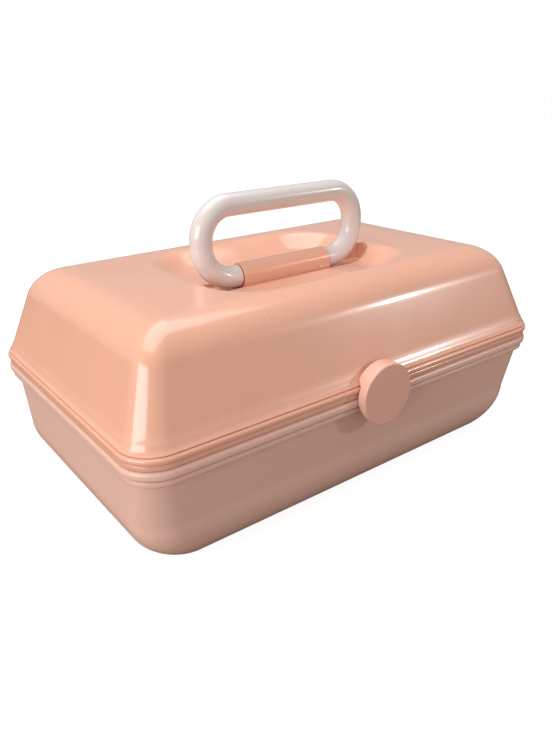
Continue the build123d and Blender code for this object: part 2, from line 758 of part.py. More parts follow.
# ---------------------------------------------------------------- arms, links and rivets
hole_near = arm_inner - cut_past
hole_far = arm_outer + cut_past
for side, hand in ((-1, "left"), (1, "right")):
    with BuildPart() as front_arm:
        points = [front_pivot, upper_pins[0]]
        add(bar(side, arm_inner, arm_outer, points, arm_half_width))
        for place in (front_pivot, lower_pins[0], upper_pins[0]):
            add(rod(side * hole_near, side * hole_far, place, hole_radius), mode=Mode.SUBTRACT)
    front_arm.part.label = "front_arm_" + hand
    export_step(front_arm.part, "parts/front_arm_" + hand + ".step")

    with BuildPart() as back_arm:
        points = [back_pivot, upper_pins[1], arm_link_pin]
        add(bar(side, arm_inner, arm_outer, points, arm_half_width))
        for place in (back_pivot, lower_pins[1], upper_pins[1], arm_link_pin):
            add(rod(side * hole_near, side * hole_far, place, hole_radius), mode=Mode.SUBTRACT)
    back_arm.part.label = "back_arm_" + hand
    export_step(back_arm.part, "parts/back_arm_" + hand + ".step")

    with BuildPart() as lid_link:
        add(bar(side, link_inner, link_outer, [lid_link_pin, arm_link_pin], arm_half_width))
        for place in (lid_link_pin, arm_link_pin):
            near = side * (link_inner - cut_past)
            far = side * (link_outer + cut_past)
            add(rod(near, far, place, hole_radius), mode=Mode.SUBTRACT)
    lid_link.part.label = "lid_link_" + hand
    export_step(lid_link.part, "parts/lid_link_" + hand + ".step")

arm_head = (arm_inner - rivet_head_gap, arm_inner - rivet_head_gap - rivet_head)
outer_head = (boss_face, boss_face + rivet_head)
link_head = (link_inner - arm_gap, link_inner - arm_gap - rivet_head)

with BuildPart() as arm_pivot_rivets:
    for side in (-1, 1):
        for place in (front_pivot, back_pivot):
            shank_end = base_inner_x - bore_end_wall - rivet_end_gap
            add(rivet(side, arm_head[1], shank_end, *arm_head, place))
arm_pivot_rivets.part.label = "arm_pivot_rivets"
export_step(arm_pivot_rivets.part, "parts/arm_pivot_rivets.step")

with BuildPart() as lower_tray_rivets:
    for side in (-1, 1):
        for place in lower_pins:
            add(rivet(side, tray_half_length - tray_wall, outer_head[1], *outer_head, place))
lower_tray_rivets.part.label = "lower_tray_rivets"
export_step(lower_tray_rivets.part, "parts/lower_tray_rivets.step")

with BuildPart() as upper_tray_rivets:
    for side in (-1, 1):
        for place in upper_pins:
            add(rivet(side, ear_inner + join, outer_head[1], *outer_head, place))
upper_tray_rivets.part.label = "upper_tray_rivets"
export_step(upper_tray_rivets.part, "parts/upper_tray_rivets.step")

with BuildPart() as arm_link_rivets:
    for side in (-1, 1):
        add(rivet(side, link_head[1], outer_head[1], *outer_head, arm_link_pin))
        add(rod(side * link_head[0], side * link_head[1], arm_link_pin, rivet_head_radius))
arm_link_rivets.part.label = "arm_link_rivets"
export_step(arm_link_rivets.part, "parts/arm_link_rivets.step")

with BuildPart() as lid_link_rivets:
    for side in (-1, 1):
        add(rivet(side, link_head[1], link_boss_face + rivet_anchor, *link_head, lid_link_pin))
lid_link_rivets.part.label = "lid_link_rivets"
export_step(lid_link_rivets.part, "parts/lid_link_rivets.step")
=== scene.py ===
"""Looks of a moulded makeup storage case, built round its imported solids.

The lid, the tub, the handle and the latch are smooth surfaces worked out on grids, in millimetres
from the centre of the underside. The trays, arms, mirror and rivets keep their solids' shapes.
"""

import json
from math import cos, pi, radians, sin, tan

import bmesh
import bpy
import numpy as np
from mathutils import Matrix, Vector


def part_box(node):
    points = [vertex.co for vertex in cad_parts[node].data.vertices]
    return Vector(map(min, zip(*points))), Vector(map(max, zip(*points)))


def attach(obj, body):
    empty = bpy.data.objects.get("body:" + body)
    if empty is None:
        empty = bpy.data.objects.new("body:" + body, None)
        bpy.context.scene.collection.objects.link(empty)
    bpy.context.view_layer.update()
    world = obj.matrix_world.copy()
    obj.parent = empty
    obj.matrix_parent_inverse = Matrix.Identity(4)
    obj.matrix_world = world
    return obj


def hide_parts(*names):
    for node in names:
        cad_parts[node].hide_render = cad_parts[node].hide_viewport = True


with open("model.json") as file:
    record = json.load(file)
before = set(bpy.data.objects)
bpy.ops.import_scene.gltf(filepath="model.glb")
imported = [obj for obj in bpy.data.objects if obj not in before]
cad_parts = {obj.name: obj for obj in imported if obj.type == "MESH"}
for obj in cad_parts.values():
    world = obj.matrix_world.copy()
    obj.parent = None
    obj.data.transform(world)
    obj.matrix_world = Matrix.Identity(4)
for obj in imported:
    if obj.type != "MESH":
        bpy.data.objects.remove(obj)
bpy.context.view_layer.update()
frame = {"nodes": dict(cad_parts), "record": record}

bl_info = {
    "name": "Makeup storage case",
    "version": (1, 0, 0),
    "blender": (4, 5, 0),
    "location": "View3D > Sidebar > Case",
    "description": "Shapes and finishes of a moulded case with a folding handle and rising trays",
    "category": "Object",
}

MM = 0.001
TUB_LOW, TUB_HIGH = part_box("base_tub")
# the place of each joint, as (y, z) in millimetres
JOINT_PLACES = {
    joint["name"]: (joint["pos_m"][1] / MM, joint["pos_m"][2] / MM)
    for joint in frame["record"]["behaviour"]["joints"]
}

# ---------------------------------------------------------------- sizes, in millimetres
HALF_LENGTH = TUB_HIGH.x / MM
HALF_DEPTH = -TUB_LOW.y / MM
PARTING = 75.0
TOP = 138.0
WALL = 2.4
RIM_CORNER = 21.6
HALF_GAP = 0.2

LID_STEP = 4.0
LID_RIM = 12.0
LID_SLOPE = radians(20)
SHOULDER = 26.0
TOP_CORNER = 4.0
SHOULDER_Z = TOP - SHOULDER
SLOPE_TOP = SHOULDER_Z + SHOULDER * sin(LID_SLOPE)
SHOULDER_INSET = (
    LID_STEP + (SLOPE_TOP - PARTING - LID_RIM) * tan(LID_SLOPE) + SHOULDER * cos(LID_SLOPE)
)
BLEND_INSET = 36.0  # the shoulder ring from which the top is drawn towards the recess

# the lid's rim from its foot to its ledge: points (inset, level) and arcs as arc_rows takes them
LID_FOOT = [(6.4, 75.2), (1.8, 75.2)]
LID_FOOT_ARC = (1.7, 76.0, 0.8, -90, 0, 5)
LID_GROOVE = [(0.9, 77.4), (1.05, 77.9), (1.3, 78.12)]
LID_BEAD_ARCS = ((1.8, 79.8, 1.8, -70, 0, 7), (1.8, 80.4, 1.8, 0, 82, 8))
LID_COVE = [
    (1.9, 82.25), (1.95, 82.9), (1.3, 83.0), (1.2, 83.1), (1.9, 83.85), (2.6, 84.6),
    (3.3, 86.1), (3.9, 87.4), (4.4, 88.4),
]
LID_LEDGE_TOP = 88.5
LID_WALL_LEVELS = np.linspace(88.9, SLOPE_TOP - 1.5, 9)

RECESS = (77.0, 62.0, 36.0, -4.0)  # half length, half depth, corner, centre along Y
RECESS_SLOPE = 22.0
RECESS_CORNER = 15.0
RECESS_DEPTH = 10.4
SLOT = (74.0, 10.5, 10.5, -9.0)
SLOT_FLOOR = 124.8
SLOT_EDGE = 0.5
SLOT_EDGE_INSET = 0.4
SLOT_FLOOR_LAP = 2.0
SLOT_INNER_DROP = 0.02  # how much lower the recess lies on the lid's inner side
# the slot below its edge, as (inset, level above its floor)
SLOT_WALL = ((0.5, 0.6), (1.1, 0.0), (3.0, 0.0))

BASE_STEP = 5.0
WALL_TOP = 65.4
END_DRAFT = 0.4
FRONT_DRAFT = 5.0
FOOT_HEIGHT = 33.5
FOOT_END = 43.0
FOOT_FRONT = 22.0
FOOT_CORNER = 8.0
LIP_OUTER = 6.9
LIP_INNER = 8.5
LIP_TOP = 78.8
LIP_ROOT = 69.0
LIP_EDGE = 0.4
LIP_FILLET = 0.3
# what the last ring of the underside and of the floor gives up, in plan and at its corner
FOOT_LAP = (3.0, 2.0)
INNER_CORNER_SHARE = 0.7  # corner taken off for each millimetre of wall
TUB_WALL_ROWS = np.linspace(0.1, 1, 8)
TUB_BEADS = [(4.6, 65.4), (2.7, 65.4)]
TUB_BEAD_ARCS = ((2.7, 66.4, 1.0, -90, 0, 5), (2.7, 67.7, 1.0, 0, 90, 5))
TUB_GROOVE = [(2.75, 68.9), (2.7, 69.25)]
TUB_RIM_ARCS = ((2.2, 71.4, 2.2, -88, 0, 9), (2.2, 72.6, 2.2, 0, 90, 9))
TUB_TOP = PARTING - HALF_GAP

PIVOT_Y = -9.0
PIVOT_Z = 132.5
HANDLE_TUBE = 7.0
GRIP_BEND = 20.0
LOWER_BEND = 21.0
SLEEVE_RADIUS = 8.0
HANDLE_HALF = 61.0
HANDLE_REACH = 44.7
SLEEVE_HALF = 35.0
SLEEVE_GAP = 0.6
SLEEVE_SINK = 0.6
STUB_RADIUS = 4.0
STUB_LENGTH = 12.0
STUB_EDGE = 0.4
TUBE_EDGE = 0.5

HINGE_Y = 108.1
HINGE_STATIONS = (-90.0, 90.0)
HINGE_RADIUS = 4.5
CENTRE_KNUCKLE = 12.0
OUTER_KNUCKLE = 11.0
KNUCKLE_GAP = 0.4
HINGE_WEB = 4.5
WEB_ROOT = 3.0
WALL_LAP = 1.0  # how far a lug or a boss runs into the wall that carries it
PIN_BOSS = 5.0
BOSS_GAP = 0.3
POST_RADIUS = 4.0
POST_POINTS = 28
POST_INSET = 7.2
POST_HEAD_GAP = 0.4

LATCH_RADIUS = 19.2
LATCH_FACE = -109.5
LATCH_PLATE = 2.4
LATCH_WALL = 1.8
LATCH_EDGE = 0.9
LATCH_POINTS = 128
LATCH_LAP = 0.2
LATCH_WALL_EDGE = 0.2
LATCH_FACE_RINGS = (2.0, 9.0)
LATCH_PIVOT = (-103.9, 87.5)
LATCH_BARREL = (2.4, 4.0)
LATCH_LUG = (2.7, 4.35, 6.35)
HOOK_Z = 63.6
HOOK_HALF = 7.0
HOOK_RISE = 1.0
HOOK_BACK = -103.5
# the back edge of the latch's wall, as levels and the Y that each has
LATCH_BACK_LEVELS = (60.0, 74.0, 82.9, 86.6)
LATCH_BACK = (-107.1, -103.7, -103.7, -100.0)

BAR_EDGE = 0.3
ARC = 18
SIDES = (34, 22)
HALVINGS = 22
SEARCH_PAST = 20.0
TINY = 0.01

# ---------------------------------------------------------------- stage
WHITE = (1.0, 1.0, 1.0, 1.0)
FLOOR_REACH = 30.0
FLOOR_SEEN = (0.9, 0.9, 0.9, 1.0)
FLOOR_THROWN = (0.24, 0.17, 0.14, 1.0)
FLOOR_GLOW = 1.213
FLOOR_GLOW_SHARE = 0.75
SKY_LIGHT = 0.4
LAMP_TARGET = (0.0, 0.0, 0.08)
CAMERA_PLACE = (-264.33, -352.78, 244.72)
CAMERA_TURN = radians(36.83)
CAMERA_DOWN = radians(23.05)
CAMERA_LEAN = radians(-1.14)
CAMERA_SENSOR = 36.0
CAMERA_LENS = 32.83

# ---------------------------------------------------------------- flecks in the plastic
FLECK_EDGE = 40.0
FLECK_PICK = 30.0
FLECK_RARITY = 0.86


# ---------------------------------------------------------------- shared shapes
def rings(rows):
    """Rounded rectangles seen from above, each row (half length, half depth, corner, z, centre y).

    A corner's points are its centre plus corner * (cos a, sin a); the straight sides between
    them are divided evenly. The rings run anticlockwise and share their numbering."""
    columns = (np.array(column, float)[:, None] for column in zip(*rows))
    half_x, half_y, corner, level, centre = columns
    corner = np.minimum(corner, np.minimum(half_x, half_y) - TINY)
    quarter = np.linspace(0, pi / 2, ARC + 1)[None, :]
    parts = []
    for turn, (sign_x, sign_y) in enumerate(((1, 1), (-1, 1), (-1, -1), (1, -1))):
        angle = quarter + turn * pi / 2
        x = sign_x * (half_x - corner) + corner * np.cos(angle)
        y = sign_y * (half_y - corner) + corner * np.sin(angle) + centre
        parts.append(np.stack([x, y], axis=-1))
    loop = []
    for turn in range(4):
        here, there = parts[turn][:, -1:], parts[(turn + 1) % 4][:, :1]
        share = np.linspace(0, 1, SIDES[turn % 2] + 1)[1:-1][None, :, None]
        loop += [parts[turn], here + (there - here) * share]
    flat = np.concatenate(loop, axis=1)
    heights = np.broadcast_to(level[:, :, None], flat.shape[:2] + (1,))
    return np.concatenate([flat, heights], axis=-1)


def edge_distance(x, y, half_x, half_y, corner, centre):
    """Signed distance to a rounded rectangle: |q outside| + min(max(q), 0) - corner."""
    qx = np.abs(x) - (half_x - corner)
    qy = np.abs(y - centre) - (half_y - corner)
    outside = np.hypot(np.maximum(qx, 0), np.maximum(qy, 0))
    return outside + np.minimum(np.maximum(qx, qy), 0) - corner


def inset_of(x, y, outline, corner_at, low, high):
    """How far in from an outline each point lies, found by halving: the inset whose ring meets it."""
    low = np.full(x.shape, low)
    high = np.full(x.shape, high)
    half_x, half_y, centre = outline
    for _ in range(HALVINGS):
        middle = (low + high) / 2
        ring = (half_x - middle, half_y - middle, corner_at(middle), centre)
        inside = edge_distance(x, y, *ring) < 0
        low = np.where(inside, middle, low)
        high = np.where(inside, high, middle)
    return (low + high) / 2


def new_piece(name, mesh, finish, body, slot, *nodes):
    """Puts a finished mesh into the scene on its body, in place of the named solids."""
    piece = bpy.data.objects.new(name, mesh)
    bpy.context.scene.collection.objects.link(piece)
    mesh.materials.clear()
    mesh.materials.append(finish)
    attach(piece, body)
    if nodes:
        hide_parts(*nodes)
    return piece


def loop_mesh(name, stack, sharp=38):
    """A closed skin over a stack of rings of equal length, with a flat face on its first and last."""
    count, around = stack.shape[:2]
    row_start = np.arange(count - 1)[:, None] * around
    place = np.arange(around)[None, :]
    lower = (row_start + place).ravel()
    step = (row_start + (place + 1) % around).ravel()
    quads = np.stack([lower, step, step + around, lower + around], axis=1).tolist()
    first = list(range(around - 1, -1, -1))
    last = [(count - 1) * around + i for i in range(around)]
    mesh = bpy.data.meshes.new(name)
    mesh.from_pydata((stack.reshape(-1, 3) * MM).tolist(), [], quads + [first, last])
    mesh.validate()
    mesh.shade_smooth()
    mesh.set_sharp_from_angle(angle=radians(sharp))
    return mesh


def along_x(name, outline, start, end):
    """A bar along X: its outline of (y, z) points, a little smaller at both ends.

    Either end may be one place or a place for each point, so that it can follow a sloped wall."""
    points = np.array(outline, float)
    middle = (points.max(0) + points.min(0)) / 2
    size = np.maximum(points.max(0) - points.min(0), 0.1)
    small = middle + (points - middle) * (1 - 2 * BAR_EDGE / size)
    stations = [(start, small), (start + BAR_EDGE, points), (end - BAR_EDGE, points), (end, small)]
    stack = np.stack([np.column_stack([np.broadcast_to(x, len(p)), p]) for x, p in stations])
    return loop_mesh(name, stack, 30)


def circle(place, radius, points=40):
    """Points (y, z) of a circle, turning from +Y towards +Z."""
    angle = np.linspace(0, 2 * pi, points, endpoint=False)
    return np.column_stack([place[0] + radius * np.cos(angle), place[1] + radius * np.sin(angle)])


def box_outline(low_y, high_y, low_z, high_z):
    """Points (y, z) of a rectangle, in the same turning sense as a circle's."""
    return [(high_y, low_z), (high_y, high_z), (low_y, high_z), (low_y, low_z)]


def merged(node, sharp=34):
    """A copy of a solid's mesh with its loose triangles joined and smoothed across shallow angles."""
    mesh = frame["nodes"][node].data.copy()
    work = bmesh.new()
    work.from_mesh(mesh)
    bmesh.ops.remove_doubles(work, verts=work.verts, dist=1e-6)
    work.to_mesh(mesh)
    work.free()
    mesh.shade_smooth()
    mesh.set_sharp_from_angle(angle=radians(sharp))
    return mesh


def arc_rows(centre_inset, centre_z, radius, start, end, steps=7):
    """(inset, z) of an arc: centre inset - radius * cos a, centre z + radius * sin a, in degrees."""
    angle = np.radians(np.linspace(start, end, steps))
    return list(zip(centre_inset - radius * np.cos(angle), centre_z + radius * np.sin(angle)))


# ---------------------------------------------------------------- finishes
class Wire:
    """A shader socket that can be written in sums, differences, products and powers."""

    def __init__(self, paint, socket):
        self.paint = paint
        self.socket = socket

    def _maths(self, operation, first, second, clamp=False):
        settings = {"operation": operation, "use_clamp": clamp}
        return self.paint.node("ShaderNodeMath", settings, {0: first, 1: second})

    def __add__(self, other):
        return self._maths("ADD", self, other)

    __radd__ = __add__

    def __sub__(self, other):
        return self._maths("SUBTRACT", self, other)

    def __rsub__(self, other):
        return self._maths("SUBTRACT", other, self)

    def __mul__(self, other):
        return self._maths("MULTIPLY", self, other)

    __rmul__ = __mul__

    def __pow__(self, other):
        return self._maths("POWER", self, other)

    def clamped(self):
        """The value kept from 0 to 1."""
        return self._maths("ADD", self, 0.0, clamp=True)


class Nodes:
    """A node tree, to which one method adds every node."""

    def __init__(self, tree):
        self.tree = tree

    def node(self, kind, settings, values, out=0):
        """Adds a node: settings first, then its sockets' values or links, and returns one output."""
        made = self.tree.nodes.new(kind)
        for name, value in settings.items():
            setattr(made, name, value)
        for key, value in values.items():
            self.feed(made.inputs[key], value)
        return Wire(self, made.outputs[out])

    def feed(self, socket, value):
        """Links a wire into a socket, or sets the socket's own value."""
        if isinstance(value, Wire):
            self.tree.links.new(value.socket, socket)
        else:
            socket.default_value = value


class Paint(Nodes):
    """One material: its fixed numbers sit on the shader, and its nodes feed what varies."""

    def __init__(self, name, **fixed):
        self.material = bpy.data.materials.new(name)
        self.material.use_nodes = True
        super().__init__(self.material.node_tree)
        self.shader = self.tree.nodes["Principled BSDF"]
        for socket, value in fixed.items():
            self.shader.inputs[socket.replace("_", " ")].default_value = value

    def place(self, scale=(1, 1, 1)):
        """The piece's own coordinates, stretched."""
        own = self.node("ShaderNodeTexCoord", {}, {}, out="Object")
        return self.node("ShaderNodeMapping", {}, {"Vector": own, "Scale": scale})

    def noise(self, scale, detail, stretch=(1, 1, 1)):
        """Cloudy noise from 0 to 1, its scale in features for each metre."""
        values = {"Vector": self.place(stretch), "Scale": scale, "Detail": detail}
        return self.node("ShaderNodeTexNoise", {}, values)

    def flecks(self, scale, size):
        """Small round flecks: 1 inside the core of one cell in seven and 0 elsewhere."""
        values = {"Vector": self.place(), "Scale": scale}
        gap = self.node("ShaderNodeTexVoronoi", {}, values)
        lot = self.node("ShaderNodeTexVoronoi", {}, values, out="Color")
        pick = self.node("ShaderNodeSeparateColor", {}, {"Color": lot})
        core = ((size - gap) * FLECK_EDGE).clamped()
        return core * ((pick - FLECK_RARITY) * FLECK_PICK).clamped()

    def mix(self, factor, first, second):
        """Two colours mixed by a factor, through the colour sockets of the mixing node."""
        values = {0: factor, 6: first, 7: second}
        return self.node("ShaderNodeMix", {"data_type": "RGBA"}, values, out=2)

    def bump(self, height, strength, distance):
        """A fine relief on the surface, its depth in metres."""
        values = {"Height": height, "Strength": strength, "Distance": distance}
        return self.node("ShaderNodeBump", {}, values)

    def finish(self, **wires):
        """Feeds the shader's varying inputs and returns the material."""
        for socket, value in wires.items():
            self.feed(self.shader.inputs[socket.replace("_", " ")], value)
        return self.material


def shade(colour, factor):
    """A colour made lighter or darker, kept opaque."""
    return tuple(min(1.0, channel * factor) for channel in colour[:3]) + (1.0,)


def case_plastic(colour, gloss):
    """Glossy moulded plastic: faint clouds in its colour, sparse flecks, flow streaks on its gloss."""
    paint = Paint("case_plastic", Coat_Roughness=0.06, IOR=1.5, Specular_IOR_Level=0.55)
    clouds = paint.noise(34, 3)
    streaks = paint.noise(90, 2, (1, 1, 0.06))
    flecks = paint.flecks(330, 0.16)
    colours = paint.mix(clouds, shade(colour, 0.965), shade(colour, 1.03))
    spotted = paint.mix(flecks * 0.3, colours, shade(colour, 0.5))
    roughness = gloss + streaks * 0.05 + clouds * 0.06 - 0.05
    relief = paint.noise(210, 2)
    return paint.finish(
        Base_Color=spotted,
        Roughness=roughness,
        Coat_Weight=0.4 + streaks * 0.12,
        Normal=paint.bump(relief, 0.05, 0.0002),
    )


def satin_plastic(name, colour, roughness):
    """Moulded plastic without a coat: fine grain in its colour, its roughness and its surface."""
    paint = Paint(name, IOR=1.5)
    grain = paint.noise(420, 3)
    clouds = paint.noise(40, 2)
    return paint.finish(
        Base_Color=paint.mix(clouds, shade(colour, 0.96), shade(colour, 1.03)),
        Roughness=roughness + grain * 0.12 - 0.06,
        Normal=paint.bump(grain, 0.12, 0.0001),
    )


def handle_plastic(colour):
    """Glossy white plastic with a faint warm cloud and a barely wavy skin."""
    paint = Paint("handle_plastic", Coat_Roughness=0.05, IOR=1.5)
    clouds = paint.noise(46, 2)
    waves = paint.noise(120, 1)
    return paint.finish(
        Base_Color=paint.mix(clouds, shade(colour, 0.97), shade(colour, 1.02)),
        Roughness=0.2 + clouds * 0.08,
        Coat_Weight=0.4 + clouds * 0.2,
        Normal=paint.bump(waves, 0.1, 0.0002),
    )


def drawn_steel(colour):
    """Steel wire: fine lines along its length and small dull patches."""
    paint = Paint("drawn_steel", Metallic=1.0)
    lines = paint.noise(900, 2, (0.05, 1, 1))
    patches = paint.noise(160, 3)
    return paint.finish(
        Base_Color=paint.mix(patches, shade(colour, 0.85), shade(colour, 1.05)),
        Roughness=0.26 + lines * 0.16,
    )


def mirror_silver(colour):
    """Silvered sheet, almost smooth, with a trace of wiping marks in its gloss."""
    paint = Paint("mirror_silver", Metallic=1.0)
    wipes = paint.noise(30, 3, (0.3, 1, 1))
    return paint.finish(
        Base_Color=paint.mix(wipes, shade(colour, 0.98), shade(colour, 1.0)),
        Roughness=0.02 + wipes ** 3 * 0.1,
    )


# ---------------------------------------------------------------- lid
def lid_corner(inset):
    """Plan corner of the lid, shrinking evenly from its rim to its flat top."""
    share = np.clip((inset - LID_STEP) / (SHOULDER_INSET - LID_STEP), 0, 1)
    return (RIM_CORNER - LID_STEP) * (1 - share) + TOP_CORNER * share


def lid_end(points):
    """Half length of the lid's outside at each (y, z): its end wall less what its corner takes."""
    y, z = np.array(points).T
    inset = LID_STEP + (z - PARTING - LID_RIM) * tan(LID_SLOPE)
    corner = lid_corner(inset)
    past = np.clip(np.abs(y) - (HALF_DEPTH - inset - corner), 0, corner)
    return HALF_LENGTH - inset - corner + np.sqrt(corner**2 - past**2)


def lid_height(x, y, radius):
    """Height of the lid's shoulder: centre + sqrt(radius^2 - run^2), run being what is left to it."""
    outline = (HALF_LENGTH, HALF_DEPTH, 0.0)
    inset = inset_of(x, y, outline, lid_corner, LID_STEP, SHOULDER_INSET + SEARCH_PAST)
    run = np.clip(SHOULDER_INSET - inset, 0, SHOULDER * cos(LID_SLOPE))
    return SHOULDER_Z + np.sqrt(radius**2 - np.minimum(run, radius - TINY) ** 2)


def recess_drop(x, y):
    """Depth of the recess: depth * (1 - cos(pi * share)) / 2, share being the way in over its slope."""

    def corner_at(inset):
        return RECESS[2] + (RECESS_CORNER - RECESS[2]) * inset / RECESS_SLOPE

    outline = (RECESS[0], RECESS[1], RECESS[3])
    inset = inset_of(x, y, outline, corner_at, 0.0, RECESS_SLOPE)
    return RECESS_DEPTH * (1 - np.cos(pi * inset / RECESS_SLOPE)) / 2


def between(first, second, shares):
    """Rings drawn evenly from one ring to another, in plan."""
    shares = np.array(shares)[:, None, None]
    return first[None, :, :] * (1 - shares) + second[None, :, :] * shares


def slot_row(inset, z=0.0):
    """A row for rings: the slot's outline moved in by an inset."""
    half_x, half_y, corner, centre = SLOT
    return (half_x - inset, half_y - inset, corner - inset, z, centre)


def lid_top(radius, grow, steps):
    """The lid's top from its shoulder to the slot's mouth, set down by a wall for the inner side."""
    shoulder_half = (HALF_LENGTH - BLEND_INSET, HALF_DEPTH - BLEND_INSET)
    plan = [
        (*shoulder_half, lid_corner(BLEND_INSET), 0.0, 0.0),
        (RECESS[0], RECESS[1], RECESS[2], 0.0, RECESS[3]),
        slot_row(-grow),
    ]
    shoulder_ring, recess_ring, slot_ring = rings(plan)
    outer = between(shoulder_ring, recess_ring, np.linspace(0, 1, steps[0] + 1)[1:-1])
    share = np.linspace(0, 1, steps[1] + 1)
    inner = between(recess_ring, slot_ring, share)
    stack = np.concatenate([outer, inner])
    x, y = stack[:, :, 0], stack[:, :, 1]
    stack[:, :, 2] = lid_height(x, y, radius) - recess_drop(x, y)
    if radius < SHOULDER:
        stack[:, :, 2] -= np.where(recess_drop(x, y) > 0, SLOT_INNER_DROP, 0)
    return stack


def lid_rows():
    """(inset, z) of the lid's outside: rim foot, main bead, groove, cove, sloped wall and shoulder."""
    rows = LID_FOOT + arc_rows(*LID_FOOT_ARC) + LID_GROOVE
    for arc in LID_BEAD_ARCS:
        rows += arc_rows(*arc)
    rows += LID_COVE
    rows += [(LID_STEP + (z - PARTING - LID_RIM) * tan(LID_SLOPE), z) for z in LID_WALL_LEVELS]
    last = np.degrees(np.arccos((SHOULDER_INSET - BLEND_INSET) / SHOULDER))
    rows += arc_rows(SHOULDER_INSET, SHOULDER_Z, SHOULDER, 20, last, 20)
    return rows


def lid_surface():
    """The whole lid as one closed skin, from the slot's inner floor by the rim to its outer floor."""
    inner_radius = SHOULDER - WALL
    inner_top = lid_top(inner_radius, WALL, (4, 16))[::-1]
    floor = SLOT_FLOOR - WALL
    inner_slot = rings([slot_row(SLOT_FLOOR_LAP - WALL, floor), slot_row(-WALL, floor)])
    last = np.degrees(np.arccos((SHOULDER_INSET - BLEND_INSET) / inner_radius))
    inside = arc_rows(SHOULDER_INSET, SHOULDER_Z, inner_radius, last, 20, 10)
    inside += [(LID_STEP + WALL, PARTING + LID_RIM)]
    insets = [(inset, z, lid_corner(inset - WALL * 0.4) - WALL * 0.6) for inset, z in inside]
    insets += [
        (inset, z, RIM_CORNER - inset if z < LID_LEDGE_TOP else lid_corner(inset))
        for inset, z in lid_rows()
    ]
    skin = rings([(HALF_LENGTH - i, HALF_DEPTH - i, corner, z, 0.0) for i, z, corner in insets])
    outer_top = lid_top(SHOULDER, 0.0, (5, 40))
    mouth = outer_top[-1]
    edge = rings([slot_row(SLOT_EDGE_INSET)])[0]
    edge[:, 2] = mouth[:, 2] - SLOT_EDGE
    slot = rings([slot_row(inset, SLOT_FLOOR + rise) for inset, rise in SLOT_WALL])
    return np.concatenate([inner_slot, inner_top, skin, outer_top, edge[None], slot])


def sleeve_outline():
    """Half-round top of the sleeve with upright sides down to the slot's floor."""
    angle = np.linspace(0, pi, 33)
    arch = [(PIVOT_Y + SLEEVE_RADIUS * cos(a), PIVOT_Z + SLEEVE_RADIUS * sin(a)) for a in angle]
    foot = SLOT_FLOOR - SLEEVE_SINK
    return arch + [(PIVOT_Y - SLEEVE_RADIUS, foot), (PIVOT_Y + SLEEVE_RADIUS, foot)]


# ---------------------------------------------------------------- tub
def tub_surface():
    """The tub as one closed skin: underside, rounding, wall, beads, lip, and back down the inside.

    The rounding is a quarter ellipse: inset = reach * (1 - cos a), z = height * (1 - sin a)."""

    def rounding(shell, angles):
        rows = []
        for angle in angles:
            fall = 1 - cos(angle)
            inset_x = BASE_STEP + END_DRAFT + shell + (FOOT_END - shell) * fall
            inset_y = BASE_STEP + FRONT_DRAFT + shell + (FOOT_FRONT - shell) * fall
            corner = FOOT_CORNER + (RIM_CORNER - FOOT_CORNER) * (1 - fall)
            corner -= INNER_CORNER_SHARE * shell
            z = shell + (FOOT_HEIGHT - shell) * (1 - sin(angle))
            rows.append((HALF_LENGTH - inset_x, HALF_DEPTH - inset_y, corner, z, 0.0))
        return rows

    def level(inset, z):
        return (HALF_LENGTH - inset, HALF_DEPTH - inset, RIM_CORNER - inset, z, 0.0)

    def flat_inside(row):
        half_x, half_y, corner, z, centre = row
        return (half_x - FOOT_LAP[0], half_y - FOOT_LAP[0], corner - FOOT_LAP[1], z, centre)

    down = np.linspace(pi / 2, 0, 26)
    outside = rounding(0, down)
    rows = [flat_inside(outside[0])] + outside
    foot, head = np.array(outside[-1]), np.array(level(BASE_STEP, WALL_TOP - 0.2))
    rows += [tuple(foot + (head - foot) * share) for share in TUB_WALL_ROWS]
    beads = TUB_BEADS + arc_rows(*TUB_BEAD_ARCS[0])[1:] + arc_rows(*TUB_BEAD_ARCS[1]) + TUB_GROOVE
    for arc in TUB_RIM_ARCS:
        beads += arc_rows(*arc)
    beads += [(LIP_OUTER - LIP_FILLET, TUB_TOP), (LIP_OUTER, TUB_TOP + LIP_FILLET)]
    beads += [(LIP_OUTER, LIP_TOP - LIP_EDGE), (LIP_OUTER + LIP_EDGE, LIP_TOP)]
    beads += [(LIP_INNER - LIP_EDGE, LIP_TOP), (LIP_INNER, LIP_TOP - LIP_EDGE)]
    beads += [(LIP_INNER, LIP_ROOT), (BASE_STEP + WALL, LIP_ROOT)]
    rows += [level(inset, z) for inset, z in beads]
    inside = rounding(WALL, down)[::-1]
    return rings(rows + inside + [flat_inside(inside[-1])])


# ---------------------------------------------------------------- handle
def handle_path():
    """Centre line (x, z), its radius and its direction: straight runs and quarter circles."""
    end = SLEEVE_HALF + SLEEVE_GAP
    low = PIVOT_Z
    high = PIVOT_Z + HANDLE_REACH
    quarter = np.linspace(0, pi / 2, 19)
    lower = [
        (HANDLE_HALF - LOWER_BEND + LOWER_BEND * sin(a), low + LOWER_BEND - LOWER_BEND * cos(a), a)
        for a in quarter
    ]
    top = high - GRIP_BEND
    upper = [
        (HANDLE_HALF - GRIP_BEND + GRIP_BEND * cos(a), top + GRIP_BEND * sin(a), a + pi / 2)
        for a in quarter
    ]
    right = [(end, low, 0.0), (end + TUBE_EDGE, low, 0.0)] + lower + upper
    x, z, turn = (np.array(column) for column in zip(*right))
    x = np.concatenate([x, -x[::-1]])
    z = np.concatenate([z, z[::-1]])
    turn = np.concatenate([turn, 2 * pi - turn[::-1]])
    radius = np.full(len(x), HANDLE_TUBE)
    radius[[0, -1]] = HANDLE_TUBE - TUBE_EDGE
    return x, z, turn, radius


